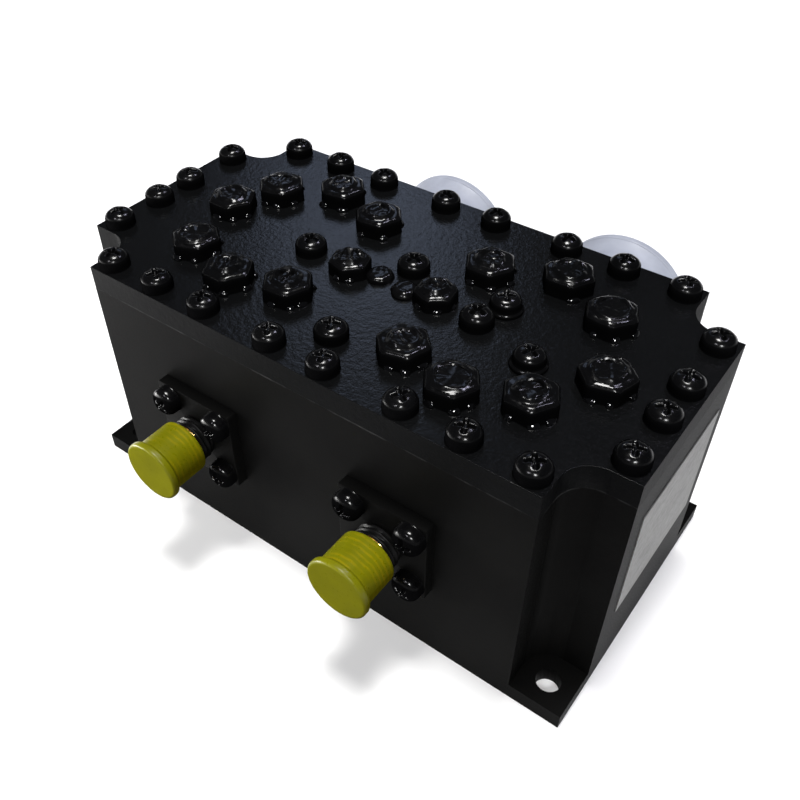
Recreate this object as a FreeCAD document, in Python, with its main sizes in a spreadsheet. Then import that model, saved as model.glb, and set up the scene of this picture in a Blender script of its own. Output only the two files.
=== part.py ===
import FreeCAD, Part
import Sketcher
import math
import os

# Two-channel microwave cavity filter.
# Millimetres. +Z up, +X to the right along the front face, the front looks along -Y.
# The origin is the middle of the underside of the housing.

V = FreeCAD.Vector
doc = FreeCAD.newDocument("cavity_filter")
sheet = doc.addObject("Spreadsheet::Sheet", "dims")

CELLS = [
    # housing and cover
    ("width", 80.0, "housing width along X"),
    ("depth", 41.0, "housing depth along Y"),
    ("seam_height", 33.9, "underside of the cover"),
    ("cover_thick", 3.3, "cover plate"),
    ("ear_thick", 2.5, "mounting ears"),
    ("pocket_x", 32.9, "corner pocket wall, from the middle"),
    ("pocket_y", 13.4, "corner pocket wall, from the middle"),
    ("ear_hole_x", 36.5, "ear hole, from the middle"),
    ("ear_hole_y", 17.0, "ear hole, from the middle"),
    ("ear_hole_dia", 3.2, "ear hole"),
    ("floor_thick", 3.0, "cavity floor"),
    ("cavity_y", 15.9, "inner face of the long walls"),
    ("cavity_end_x", 35.0, "inner face of the end walls"),
    ("cavity_end_y", 11.0, "half width of the cavity at its ends"),
    ("cavity_side_x", 30.5, "cavity wall beside the corner pockets"),
    ("mill_radius", 1.5, "upright inner corners of the cavities"),
    ("divider_left", -1.7, "divider between the channels, left face"),
    ("divider_right", 3.3, "divider between the channels, right face"),
    # islands that part the four cavities of each channel
    ("left_rib_x", -16.5, "left island, middle of the cross ribs"),
    ("right_rib_x", 17.6, "right island, middle of the cross ribs"),
    ("rib_thick", 3.5, "cross ribs"),
    ("left_rib_front", -9.0, "front end of the left cross rib"),
    ("left_rib_rear", 8.7, "rear end of the left cross rib"),
    ("right_rib_front", -9.8, "front end of the right cross rib"),
    ("right_rib_rear", 8.4, "rear end of the right cross rib"),
    ("left_web_y", -0.9, "left island, middle of the long web"),
    ("right_web_y", -1.4, "right island, middle of the long web"),
    ("web_thick", 4.8, "long webs"),
    ("left_web_outer", -22.8, "left web, outer end"),
    ("left_web_inner", -9.0, "left web, inner end"),
    ("right_web_inner", 10.7, "right web, inner end"),
    ("right_web_outer", 26.5, "right web, outer end"),
    ("boss_dia", 4.6, "boss of the rear inner screw"),
    ("big_boss_dia", 5.6, "boss of the front inner screw"),
    # perimeter cover screws
    ("edge_x_one", 4.0, "perimeter screws on the long sides"),
    ("edge_x_two", 14.6, "perimeter screws on the long sides"),
    ("edge_x_three", 22.6, "perimeter screws on the long sides"),
    ("edge_x_four", 30.6, "perimeter screws on the long sides"),
    ("edge_y", 18.3, "perimeter screws on the long sides"),
    ("end_x", 37.6, "perimeter screws at the ends"),
    ("end_y_one", 11.0, "perimeter screws at the ends"),
    ("end_y_two", 2.2, "perimeter screws at the ends"),
    ("end_y_three", -3.8, "perimeter screws at the ends"),
    ("end_y_four", -11.1, "perimeter screws at the ends"),
    ("edge_head_dia", 4.0, "pan head"),
    ("edge_head_high", 1.7, "pan head"),
    ("edge_shank_dia", 2.0, "thread"),
    ("edge_shank_deep", 4.6, "thread length below the seam"),
    ("edge_hole_deep", 5.2, "tapped hole below the seam"),
    ("cover_clear", 0.2, "clearance of the cover holes on the screw diameter"),
    ("head_round", 0.85, "rounding of the pan heads"),
    ("recess_long", 2.1, "cross recess length"),
    ("recess_wide", 0.5, "cross recess width"),
    ("recess_deep", 0.6, "cross recess depth"),
    # inner cover screws
    ("inner_a_x", -12.2, "inner cover screw"), ("inner_a_y", -0.9, "inner cover screw"),
    ("inner_b_x", 1.2, "inner cover screw"), ("inner_b_y", 3.2, "inner cover screw"),
    ("inner_c_x", 1.1, "inner cover screw"), ("inner_c_y", -13.2, "inner cover screw"),
    ("inner_d_x", 13.4, "inner cover screw"), ("inner_d_y", -1.4, "inner cover screw"),
    ("inner_e_x", 22.0, "inner cover screw"), ("inner_e_y", -4.2, "inner cover screw"),
    ("inner_f_x", 14.7, "inner cover screw"), ("inner_f_y", 3.0, "inner cover screw"),
    ("inner_head_dia", 4.2, "pan head"),
    ("inner_head_high", 1.6, "low pan head"),
    ("tall_head_high", 1.8, "tall pan head"),
    ("inner_shank_dia", 2.5, "thread"),
    ("inner_shank_deep", 6.5, "thread length below the seam"),
    ("inner_hole_deep", 7.5, "tapped hole below the seam"),
    ("washer_dia", 4.7, "washer"),
    ("washer_thick", 0.5, "washer"),
    # tuning screws: c, a, e, m, o, l trim the couplings, the others the resonators
    ("tune_g_x", -8.5, "left channel, rear inner resonator"), ("tune_g_y", 8.8, ""), ("tune_g_rot", 9.0, ""),
    ("tune_b_x", -24.4, "left channel, rear outer resonator"), ("tune_b_y", 7.3, ""), ("tune_b_rot", 14.0, ""),
    ("tune_d_x", -24.6, "left channel, front outer resonator"), ("tune_d_y", -9.3, ""), ("tune_d_rot", 20.0, ""),
    ("tune_f_x", -8.35, "left channel, front inner resonator"), ("tune_f_y", -9.9, ""), ("tune_f_rot", 6.4, ""),
    ("tune_j_x", 9.4, "right channel, rear inner resonator"), ("tune_j_y", 8.0, ""), ("tune_j_rot", 0.0, ""),
    ("tune_n_x", 26.0, "right channel, rear outer resonator"), ("tune_n_y", 7.6, ""), ("tune_n_rot", -5.0, ""),
    ("tune_p_x", 25.5, "right channel, front outer resonator"), ("tune_p_y", -10.0, ""), ("tune_p_rot", -2.0, ""),
    ("tune_k_x", 9.8, "right channel, front inner resonator"), ("tune_k_y", -11.0, ""), ("tune_k_rot", 14.0, ""),
    ("tune_c_x", -16.9, "left channel, rear coupling"), ("tune_c_y", 11.7, ""), ("tune_c_rot", 12.0, ""),
    ("tune_a_x", -27.6, "left channel, outer coupling"), ("tune_a_y", 0.7, ""), ("tune_a_rot", 0.0, ""),
    ("tune_e_x", -16.3, "left channel, front coupling"), ("tune_e_y", -12.0, ""), ("tune_e_rot", 0.0, ""),
    ("tune_m_x", 18.4, "right channel, rear coupling"), ("tune_m_y", 11.6, ""), ("tune_m_rot", 2.0, ""),
    ("tune_o_x", 30.5, "right channel, outer coupling"), ("tune_o_y", -2.5, ""), ("tune_o_rot", 15.0, ""),
    ("tune_l_x", 17.6, "right channel, front coupling"), ("tune_l_y", -13.1, ""), ("tune_l_rot", 4.0, ""),
    ("tune_dia", 2.9, "tuning screw"),
    ("tune_stand", 2.75, "tuning screw end above the cover"),
    ("tune_tip", 24.0, "lower end of the resonator tuning screws"),
    ("couple_tip", 25.5, "lower end of the coupling tuning screws"),
    ("slot_wide", 0.6, "screwdriver slot"),
    ("slot_deep", 0.7, "screwdriver slot"),
    ("nut_flats", 6.0, "lock nut across flats"),
    ("nut_high", 2.3, "lock nut"),
    ("cross_s_x", -5.3, "left cross coupling screw"), ("cross_s_y", -1.5, ""), ("cross_s_rot", 45.7, ""),
    ("cross_t_x", 7.0, "right cross coupling screw"), ("cross_t_y", -0.5, ""), ("cross_t_rot", 39.1, ""),
    ("cross_dia", 2.5, "cross coupling screw"),
    ("cross_tip", 27.0, "lower end of the cross coupling screws"),
    ("cross_stand", 2.6, "cross coupling screw end above the cover"),
    ("small_flats", 5.0, "small lock nut across flats"),
    ("small_high", 2.0, "small lock nut"),
    ("plug_a_x", -1.4, "left set screw"), ("plug_a_y", -0.4, ""), ("plug_a_rot", 30.0, ""),
    ("plug_b_x", 2.95, "right set screw"), ("plug_b_y", -1.15, ""), ("plug_b_rot", -20.0, ""),
    ("plug_dia", 2.6, "set screw"),
    ("plug_stand", 0.5, "set screw end above the cover"),
    ("plug_gap", 0.4, "set screw end above the underside of the cover"),
    # resonators
    ("post_dia", 6.0, "resonator post"),
    ("post_top", 27.0, "top of the resonator posts"),
    ("post_bore", 4.2, "bore in the post top"),
    ("post_bore_deep", 7.5, "bore in the post top"),
    ("post_screw_dia", 2.5, "post screw thread"),
    ("post_screw_long", 4.5, "post screw thread inside the post"),
    ("post_head_dia", 4.4, "post screw head"),
    ("post_head_high", 1.4, "post screw head"),
    ("post_head_sunk", 0.2, "post screw head below the underside"),
    ("post_head_clear", 0.3, "clearance of the counterbore on the head diameter"),
    # front jacks
    ("jack_height", 18.4, "axis of all four jacks"),
    ("front_left_x", -15.5, "axis of the front left jack"),
    ("front_right_x", 14.8, "axis of the front right jack"),
    ("small_flange", 12.7, "square flange"),
    ("small_flange_thick", 1.6, "square flange"),
    ("small_hole_pitch", 8.64, "flange screws"),
    ("small_barrel_dia", 6.25, "threaded barrel"),
    ("small_barrel_long", 9.4, "barrel end from the housing"),
    ("small_mouth_dia", 4.6, "mouth of the barrel"),
    ("small_mouth_deep", 2.0, "mouth of the barrel"),
    ("small_core_dia", 4.1, "insulator"),
    ("small_pin_dia", 1.27, "centre contact"),
    ("small_socket_dia", 0.94, "socket in the centre contact"),
    ("small_socket_deep", 3.0, "socket in the centre contact"),
    ("pin_inside", 1.4, "contact end inside the cavity wall"),
    ("small_screw_dia", 2.0, "flange screw thread"),
    ("small_screw_deep", 3.4, "flange screw thread in the housing"),
    ("small_hole_deep", 3.7, "tapped hole in the housing"),
    ("small_head_dia", 4.0, "flange screw head"),
    ("small_head_high", 2.0, "flange screw head"),
    ("flange_clear", 0.2, "clearance of the flange holes on the screw diameter"),
    # front dust caps
    ("small_cap_start", 4.3, "open edge from the housing"),
    ("small_cap_end", 10.3, "closed end from the housing"),
    ("small_cap_dia", 7.4, "cap tube"),
    ("small_cap_bore", 6.5, "cap bore"),
    ("small_cap_web", 0.6, "closed end thickness"),
    ("small_rim_dia", 8.7, "cap rim"),
    ("small_rim_thick", 1.1, "cap rim"),
    ("small_rim_round", 0.35, "cap rim rounding"),
    # rear jacks
    ("rear_left_x", -15.1, "axis of the rear left jack"),
    ("rear_right_x", 15.8, "axis of the rear right jack"),
    ("big_flange", 25.4, "square flange"),
    ("big_flange_thick", 2.5, "square flange"),
    ("big_hole_pitch", 18.2, "flange screws"),
    ("big_barrel_dia", 15.9, "threaded barrel"),
    ("big_barrel_long", 17.4, "barrel end from the housing"),
    ("big_mouth_dia", 12.0, "mouth of the barrel"),
    ("big_mouth_deep", 6.0, "mouth of the barrel"),
    ("big_core_dia", 8.4, "insulator in the barrel"),
    ("big_core_end", 9.0, "insulator end from the housing"),
    ("big_bush_dia", 5.0, "insulator in the housing wall"),
    ("big_pin_dia", 3.0, "centre contact in the barrel"),
    ("big_pin_end", 13.0, "contact end from the housing"),
    ("big_stem_dia", 1.6, "centre contact in the housing wall"),
    ("big_socket_dia", 1.7, "socket in the centre contact"),
    ("big_socket_deep", 5.0, "socket in the centre contact"),
    ("big_screw_dia", 3.0, "flange screw thread"),
    ("big_screw_deep", 3.3, "flange screw thread in the housing"),
    ("big_hole_deep", 3.7, "tapped hole in the housing"),
    ("big_head_dia", 5.5, "flange screw head"),
    ("big_head_high", 2.0, "flange screw head"),
    # rear dust caps
    ("big_cap_start", 6.0, "open edge from the housing"),
    ("big_cap_end", 19.2, "closed end from the housing"),
    ("big_cap_dia", 18.8, "cap tube"),
    ("big_cap_bore", 16.2, "cap bore"),
    ("big_cap_web", 1.3, "closed end thickness"),
    ("big_rim_dia", 20.4, "cap rim"),
    ("big_rim_thick", 1.2, "cap rim"),
    ("big_rim_round", 0.3, "cap rim rounding"),
    # tap wires and label
    ("wire_dia", 0.8, "tap wire"),
    ("label_front", -9.8, "label edge"),
    ("label_rear", 10.8, "label edge"),
    ("label_low", 11.8, "label edge"),
    ("label_high", 29.0, "label edge"),
    ("label_thick", 0.12, "label"),
]


class Q:
    """A size: its present value and the expression that yields it from the sheet."""

    def __init__(self, value, text):
        self.v = float(value)
        self.e = text

    def __add__(self, o):
        o = q(o)
        return Q(self.v + o.v, "(%s + %s)" % (self.e, o.e))

    def __radd__(self, o):
        return q(o) + self

    def __sub__(self, o):
        o = q(o)
        return Q(self.v - o.v, "(%s - %s)" % (self.e, o.e))

    def __rsub__(self, o):
        return q(o) - self

    def __mul__(self, o):
        o = q(o)
        return Q(self.v * o.v, "(%s * %s)" % (self.e, o.e))

    def __rmul__(self, o):
        return q(o) * self

    def __truediv__(self, o):
        o = q(o)
        return Q(self.v / o.v, "(%s / %s)" % (self.e, o.e))

    def __neg__(self):
        return Q(-self.v, "(0 - %s)" % self.e)


def q(x):
    return x if isinstance(x, Q) else Q(x, repr(float(x)))


def cosd(a):
    return Q(math.cos(math.radians(a.v)), "cos(%s * 1deg)" % a.e)


def sind(a):
    return Q(math.sin(math.radians(a.v)), "sin(%s * 1deg)" % a.e)


class Dims:
    pass


D = Dims()
for row, (alias, value, note) in enumerate(CELLS, 1):
    sheet.set("A%d" % row, alias)
    sheet.set("B%d" % row, repr(value))
    sheet.setAlias("B%d" % row, alias)
    sheet.set("C%d" % row, note)
    setattr(D, alias, Q(value, "dims." + alias))
doc.recompute()

top = D.seam_height + D.cover_thick
NODES = []
CUTS = []


def get(name):
    return getattr(D, name)


def body(name):
    b = doc.addObject("PartDesign::Body", name)
    b.Label = name
    b.AllowCompound = True
    NODES.append(b)
    return b


class Drawing:
    """A fully placed sketch on one of the body's own planes."""

    def __init__(self, owner, name, role="XY_Plane", offset=None):
        self.sk = owner.newObject("Sketcher::SketchObject", name)
        plane = [f for f in owner.Origin.OriginFeatures if f.Role == role][0]
        self.sk.AttachmentSupport = [(plane, "")]
        self.sk.MapMode = "FlatFace"
        if offset is not None:
            self.sk.setExpression("AttachmentOffset.Base.z", offset.e)
        self.geo = []
        self.con = []
        self.exp = []

    def _at(self, geo, pos, x, y):
        for kind, size, axis in (("DistanceX", q(x), -2), ("DistanceY", q(y), -1)):
            if abs(size.v) < 1e-9:
                self.con.append(Sketcher.Constraint("PointOnObject", geo, pos, axis))
            else:
                self.exp.append((len(self.con), size.e))
                self.con.append(Sketcher.Constraint(kind, -1, 1, geo, pos, size.v))

    def circle(self, x, y, dia):
        x, y, dia = q(x), q(y), q(dia)
        k = len(self.geo)
        self.geo.append(Part.Circle(V(x.v, y.v, 0), V(0, 0, 1), dia.v / 2))
        self._at(k, 3, x, y)
        self.exp.append((len(self.con), dia.e))
        self.con.append(Sketcher.Constraint("Diameter", k, dia.v))
        return self

    def polygon(self, pts):
        pts = [(q(a), q(b)) for a, b in pts]
        first, n = len(self.geo), len(pts)
        for i in range(n):
            a, b = pts[i], pts[(i + 1) % n]
            self.geo.append(Part.LineSegment(V(a[0].v, a[1].v, 0), V(b[0].v, b[1].v, 0)))
        for i in range(n):
            self.con.append(Sketcher.Constraint("Coincident", first + i, 2, first + (i + 1) % n, 1))
        for i in range(n):
            self._at(first + i, 1, pts[i][0], pts[i][1])
        return self

    def box(self, x, y, wide, high):
        x, y, wide, high = q(x), q(y), q(wide), q(high)
        return self.polygon([(x - wide / 2, y - high / 2), (x + wide / 2, y - high / 2),
                             (x + wide / 2, y + high / 2), (x - wide / 2, y + high / 2)])

    def done(self):
        self.sk.addGeometry(self.geo, False)
        self.sk.addConstraint(self.con)
        for i, text in self.exp:
            self.sk.setExpression("Constraints[%d]" % i, text)
        return self.sk


def pad(owner, name, sk, length, flip=False):
    f = owner.newObject("PartDesign::Pad", name)
    f.Profile = sk
    f.Reversed = flip
    f.setExpression("Length", q(length).e)
    sk.Visibility = False
    return f


def pocket(owner, name, sk, length=None, flip=False):
    f = owner.newObject("PartDesign::Pocket", name)
    f.Profile = sk
    f.Reversed = flip
    if length is None:
        f.Type = 1
    else:
        f.setExpression("Length", q(length).e)
    sk.Visibility = False
    CUTS.append((owner, f))
    return f


def revolve(owner, name, pts):
    d = Drawing(owner, name + "_profile", "XZ_Plane")
    sk = d.polygon(pts).done()
    f = owner.newObject("PartDesign::Revolution", name)
    f.Profile = sk
    f.ReferenceAxis = (sk, ["V_Axis"])
    f.Angle = 360.0
    sk.Visibility = False
    return f


def fillet(owner, name, base, radius, wanted):
    doc.recompute()
    names = ["Edge%d" % (i + 1) for i, e in enumerate(base.Shape.Edges) if wanted(e)]
    if not names:
        raise RuntimeError("no edges for " + name)
    f = owner.newObject("PartDesign::Fillet", name)
    f.Base = (base, names)
    f.setExpression("Radius", radius.e)
    return f


def ring_at(axis, where, radius):
    """Picks full circular edges lying in the plane axis = where with this radius."""
    def ok(e):
        c = e.Curve
        if not hasattr(c, "Radius") or not hasattr(c, "Center"):
            return False
        return abs(c.Radius - radius) < 1e-4 and abs(getattr(c.Center, axis) - where) < 1e-4
    return ok


def upright_at(points):
    """Picks vertical edges standing at one of these plan points."""
    def ok(e):
        if len(e.Vertexes) != 2:
            return False
        a, b = e.Vertexes[0].Point, e.Vertexes[1].Point
        if abs(a.x - b.x) > 1e-6 or abs(a.y - b.y) > 1e-6:
            return False
        return any(abs(a.x - p[0]) < 1e-4 and abs(a.y - p[1]) < 1e-4 for p in points)
    return ok


def prim(kind, name, x=None, y=None, z=None, angle=None, **sizes):
    o = doc.addObject("Part::" + kind, name)
    for prop, size in sizes.items():
        o.setExpression(prop, q(size).e)
    for prop, size in (("x", x), ("y", y), ("z", z)):
        if size is not None:
            o.setExpression("Placement.Base." + prop, q(size).e)
    if angle is not None:
        o.Placement.Rotation = FreeCAD.Rotation(V(0, 0, 1), 1.0)
        o.setExpression("Placement.Rotation.Angle", "(%s) * 1deg" % q(angle).e)
    return o


def cut(name, base, tool):
    o = doc.addObject("Part::Cut", name)
    o.Base, o.Tool = base, tool
    return o


def common(name, shapes):
    o = doc.addObject("Part::MultiCommon", name)
    o.Shapes = shapes
    return o


def group(name, links):
    o = doc.addObject("Part::Compound", name)
    o.Links = links
    o.Label = name
    NODES.append(o)
    return o


# ------------------------------------------------------------------ positions
edge_points = []
for a in ("one", "two", "three", "four"):
    for sx in (-1.0, 1.0):
        for sy in (-1.0, 1.0):
            edge_points.append((sx * get("edge_x_" + a), sy * D.edge_y))
for a in ("one", "two", "three", "four"):
    for sx in (-1.0, 1.0):
        edge_points.append((sx * D.end_x, get("end_y_" + a)))

inner_points = {k: (get("inner_%s_x" % k), get("inner_%s_y" % k)) for k in "abcdef"}
resonators = ["g", "b", "d", "f", "j", "n", "p", "k"]
couplings = ["c", "a", "e", "m", "o", "l"]
tune_points = {k: (get("tune_%s_x" % k), get("tune_%s_y" % k)) for k in resonators + couplings}
cross_points = {k: (get("cross_%s_x" % k), get("cross_%s_y" % k)) for k in "st"}
plug_points = {k: (get("plug_%s_x" % k), get("plug_%s_y" % k)) for k in "ab"}
ear_points = [(sx * D.ear_hole_x, sy * D.ear_hole_y) for sx in (-1.0, 1.0) for sy in (-1.0, 1.0)]
past = 2.0


def corner_pockets(owner, prefix, level, deep):
    """The four open corner pockets: an L-shaped cut and a round one about each ear hole."""
    d = Drawing(owner, prefix + "_corner_lines", "XY_Plane", level)
    for sx in (-1.0, 1.0):
        for sy in (-1.0, 1.0):
            ox, oy = sx * (D.width / 2 + past), sy * (D.depth / 2 + past)
            hx, hy = sx * D.ear_hole_x, sy * D.ear_hole_y
            px, py = sx * D.pocket_x, sy * D.pocket_y
            d.polygon([(hx, py), (ox, py), (ox, oy), (px, oy), (px, hy), (hx, hy)])
    pocket(owner, prefix + "_corner_cut", d.done(), deep)
    d = Drawing(owner, prefix + "_corner_rounds", "XY_Plane", level)
    for x, y in ear_points:
        d.circle(x, y, 2 * (D.ear_hole_x - D.pocket_x))
    return pocket(owner, prefix + "_corner_round_cut", d.done(), deep)


# -------------------------------------------------------------------- housing
housing = body("housing")
pad(housing, "block", Drawing(housing, "block_outline").box(0, 0, D.width, D.depth).done(), D.seam_height)
corner_pockets(housing, "housing", D.seam_height, D.seam_height - D.ear_thick)
d = Drawing(housing, "ear_holes_plan", "XY_Plane", D.ear_thick)
for x, y in ear_points:
    d.circle(x, y, D.ear_hole_dia)
pocket(housing, "ear_holes", d.done(), D.ear_thick + past)

deep = D.seam_height - D.floor_thick


def channel(inner_x, side):
    """Outline of one channel's cavities, side -1 left, +1 right."""
    ex, sx = side * D.cavity_end_x, side * D.cavity_side_x
    return [(inner_x, -D.cavity_y), (inner_x, D.cavity_y), (sx, D.cavity_y), (sx, D.cavity_end_y),
            (ex, D.cavity_end_y), (ex, -D.cavity_end_y), (sx, -D.cavity_end_y), (sx, -D.cavity_y)]


left_outline = channel(D.divider_left, -1.0)
right_outline = channel(D.divider_right, 1.0)
d = Drawing(housing, "channels_plan", "XY_Plane", D.seam_height)
d.polygon(left_outline).polygon(right_outline)
channels = pocket(housing, "channels", d.done(), deep)
corners = [(p[0].v, p[1].v) for o in (left_outline, right_outline) for i, p in enumerate(o) if i not in (3, 6)]
fillet(housing, "channel_corners", channels, D.mill_radius, upright_at(corners))


def cross_plan(mid_x, mid_y, inner, outer, front, rear):
    a, b = mid_x - D.rib_thick / 2, mid_x + D.rib_thick / 2
    lo, hi = mid_y - D.web_thick / 2, mid_y + D.web_thick / 2
    left, right = (outer, inner) if outer.v < inner.v else (inner, outer)
    return [(a, front), (b, front), (b, lo), (right, lo), (right, hi), (b, hi),
            (b, rear), (a, rear), (a, hi), (left, hi), (left, lo), (a, lo)]


d = Drawing(housing, "islands_plan", "XY_Plane", D.floor_thick)
d.polygon(cross_plan(D.left_rib_x, D.left_web_y, D.left_web_inner, D.left_web_outer,
                     D.left_rib_front, D.left_rib_rear))
d.polygon(cross_plan(D.right_rib_x, D.right_web_y, D.right_web_inner, D.right_web_outer,
                     D.right_rib_front, D.right_rib_rear))
pad(housing, "islands", d.done(), deep)
d = Drawing(housing, "bosses_plan", "XY_Plane", D.floor_thick)
d.circle(inner_points["f"][0], inner_points["f"][1], D.boss_dia)
d.circle(inner_points["e"][0], inner_points["e"][1], D.big_boss_dia)
pad(housing, "bosses", d.done(), deep)

d = Drawing(housing, "edge_holes_plan", "XY_Plane", D.seam_height)
for x, y in edge_points:
    d.circle(x, y, D.edge_shank_dia)
pocket(housing, "edge_holes", d.done(), D.edge_hole_deep)
d = Drawing(housing, "inner_holes_plan", "XY_Plane", D.seam_height)
for x, y in inner_points.values():
    d.circle(x, y, D.inner_shank_dia)
pocket(housing, "inner_holes", d.done(), D.inner_hole_deep)

d = Drawing(housing, "post_counterbores_plan", "XY_Plane")
for k in resonators:
    d.circle(tune_points[k][0], tune_points[k][1], D.post_head_dia + D.post_head_clear)
pocket(housing, "post_counterbores", d.done(), D.post_head_high + D.post_head_sunk, flip=True)
d = Drawing(housing, "post_holes_plan", "XY_Plane")
for k in resonators:
    d.circle(tune_points[k][0], tune_points[k][1], D.post_screw_dia)
pocket(housing, "post_holes", d.done(), D.floor_thick + 1.0, flip=True)

half = D.depth / 2
wall = half - D.cavity_y
for name, x, dia in (("front_left", D.front_left_x, D.small_core_dia), ("front_right", D.front_right_x, D.small_core_dia)):
    d = Drawing(housing, name + "_port_plan", "XZ_Plane", half)
    pocket(housing, name + "_port", d.circle(x, D.jack_height, dia).done(), wall + 0.5)
for name, x, dia in (("rear_left", D.rear_left_x, D.big_bush_dia), ("rear_right", D.rear_right_x, D.big_bush_dia)):
    d = Drawing(housing, name + "_port_plan", "XZ_Plane", -half)
    pocket(housing, name + "_port", d.circle(x, D.jack_height, dia).done(), wall + 0.5, flip=True)


def flange_points(xs, pitch):
    return [(x + sx * pitch / 2, D.jack_height + sz * pitch / 2) for x in xs for sx in (-1.0, 1.0) for sz in (-1.0, 1.0)]


front_points = flange_points((D.front_left_x, D.front_right_x), D.small_hole_pitch)
rear_points = flange_points((D.rear_left_x, D.rear_right_x), D.big_hole_pitch)
d = Drawing(housing, "front_flange_holes_plan", "XZ_Plane", half)
for x, z in front_points:
    d.circle(x, z, D.small_screw_dia)
pocket(housing, "front_flange_holes", d.done(), D.small_hole_deep)
d = Drawing(housing, "rear_flange_holes_plan", "XZ_Plane", -half)
for x, z in rear_points:
    d.circle(x, z, D.big_screw_dia)
pocket(housing, "rear_flange_holes", d.done(), D.big_hole_deep, flip=True)

# ---------------------------------------------------------------- cover plate
cover = body("cover_plate")
d = Drawing(cover, "plate_outline", "XY_Plane", D.seam_height)
pad(cover, "plate", d.box(0, 0, D.width, D.depth).done(), D.cover_thick)
corner_pockets(cover, "cover", top, D.cover_thick + past)
d = Drawing(cover, "clearance_holes_plan", "XY_Plane", top)
for x, y in edge_points:
    d.circle(x, y, D.edge_shank_dia + D.cover_clear)
for x, y in inner_points.values():
    d.circle(x, y, D.inner_shank_dia + D.cover_clear)
pocket(cover, "clearance_holes", d.done(), D.cover_thick + past)
d = Drawing(cover, "tapped_holes_plan", "XY_Plane", top)
for x, y in tune_points.values():
    d.circle(x, y, D.tune_dia)
for x, y in cross_points.values():
    d.circle(x, y, D.cross_dia)
for x, y in plug_points.values():
    d.circle(x, y, D.plug_dia)
pocket(cover, "tapped_holes", d.done(), D.cover_thick + past)


# ------------------------------------------------------------ pan head screws
def cross_recess(owner, prefix, role, level, points, flip=False):
    for tag, w, h in (("a", D.recess_long, D.recess_wide), ("b", D.recess_wide, D.recess_long)):
        d = Drawing(owner, prefix + "_recess_" + tag + "_plan", role, level)
        for x, y in points:
            d.box(x, y, w, h)
        pocket(owner, prefix + "_recess_" + tag, d.done(), D.recess_deep, flip)


edge = body("cover_screws")
d = Drawing(edge, "shanks_plan", "XY_Plane", D.seam_height - D.edge_shank_deep)
for x, y in edge_points:
    d.circle(x, y, D.edge_shank_dia)
pad(edge, "shanks", d.done(), D.edge_shank_deep + D.cover_thick)
d = Drawing(edge, "heads_plan", "XY_Plane", top)
for x, y in edge_points:
    d.circle(x, y, D.edge_head_dia)
heads = pad(edge, "heads", d.done(), D.edge_head_high)
fillet(edge, "head_rounding", heads, D.head_round,
       ring_at("z", (top + D.edge_head_high).v, D.edge_head_dia.v / 2))
cross_recess(edge, "edge", "XY_Plane", top + D.edge_head_high, edge_points)

inner = body("inner_cover_screws")
d = Drawing(inner, "inner_shanks_plan", "XY_Plane", D.seam_height - D.inner_shank_deep)
for x, y in inner_points.values():
    d.circle(x, y, D.inner_shank_dia)
pad(inner, "inner_shanks", d.done(), D.inner_shank_deep + D.cover_thick + D.washer_thick)
d = Drawing(inner, "low_heads_plan", "XY_Plane", top)
for k in "abc":
    d.circle(inner_points[k][0], inner_points[k][1], D.inner_head_dia)
pad(inner, "low_heads", d.done(), D.inner_head_high)
d = Drawing(inner, "tall_head_plan", "XY_Plane", top)
d.circle(inner_points["d"][0], inner_points["d"][1], D.inner_head_dia)
pad(inner, "tall_head", d.done(), D.tall_head_high)
d = Drawing(inner, "raised_heads_plan", "XY_Plane", top + D.washer_thick)
for k in "ef":
    d.circle(inner_points[k][0], inner_points[k][1], D.inner_head_dia)
raised = pad(inner, "raised_heads", d.done(), D.tall_head_high - D.washer_thick)
low_ring = ring_at("z", (top + D.inner_head_high).v, D.inner_head_dia.v / 2)
tall_ring = ring_at("z", (top + D.tall_head_high).v, D.inner_head_dia.v / 2)
fillet(inner, "inner_head_rounding", raised, D.head_round, lambda e: low_ring(e) or tall_ring(e))
cross_recess(inner, "low", "XY_Plane", top + D.inner_head_high, [inner_points[k] for k in "abc"])
cross_recess(inner, "tall", "XY_Plane", top + D.tall_head_high, [inner_points[k] for k in "def"])

washers = body("inner_screw_washers")
d = Drawing(washers, "washers_plan", "XY_Plane", top)
for k in "ef":
    d.circle(inner_points[k][0], inner_points[k][1], D.washer_dia)
    d.circle(inner_points[k][0], inner_points[k][1], D.inner_shank_dia)
pad(washers, "washer_rings", d.done(), D.washer_thick)


# ------------------------------------------------- tuning screws and lock nuts
def slotted(name, x, y, low, high, dia, turn):
    rod = prim("Cylinder", name + "_rod", x, y, low, Radius=dia / 2, Height=high - low)
    run = dia + 1.0
    bx = x - (run / 2 * cosd(turn) - D.slot_wide / 2 * sind(turn))
    by = y - (run / 2 * sind(turn) + D.slot_wide / 2 * cosd(turn))
    slot = prim("Box", name + "_slot", bx, by, high - D.slot_deep, turn,
                Length=run, Width=D.slot_wide, Height=D.slot_deep + 1.0)
    return cut(name + "_screw", rod, slot)


def nut(name, x, y, flats, high, bore, turn):
    hexagon = prim("Prism", name + "_hexagon", x, y, top, turn,
                   Circumradius=flats / 2 / q(math.cos(math.radians(30.0))), Height=high)
    bevel = prim("Cone", name + "_bevel", x, y, top,
                 Radius1=flats / 2 - 0.1 + high * q(math.sqrt(3.0)), Radius2=flats / 2 - 0.1, Height=high)
    blank = common(name + "_blank", [hexagon, bevel])
    hole = prim("Cylinder", name + "_bore", x, y, top - 1.0, Radius=bore / 2, Height=high + 2.0)
    return cut(name + "_nut", blank, hole)


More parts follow.
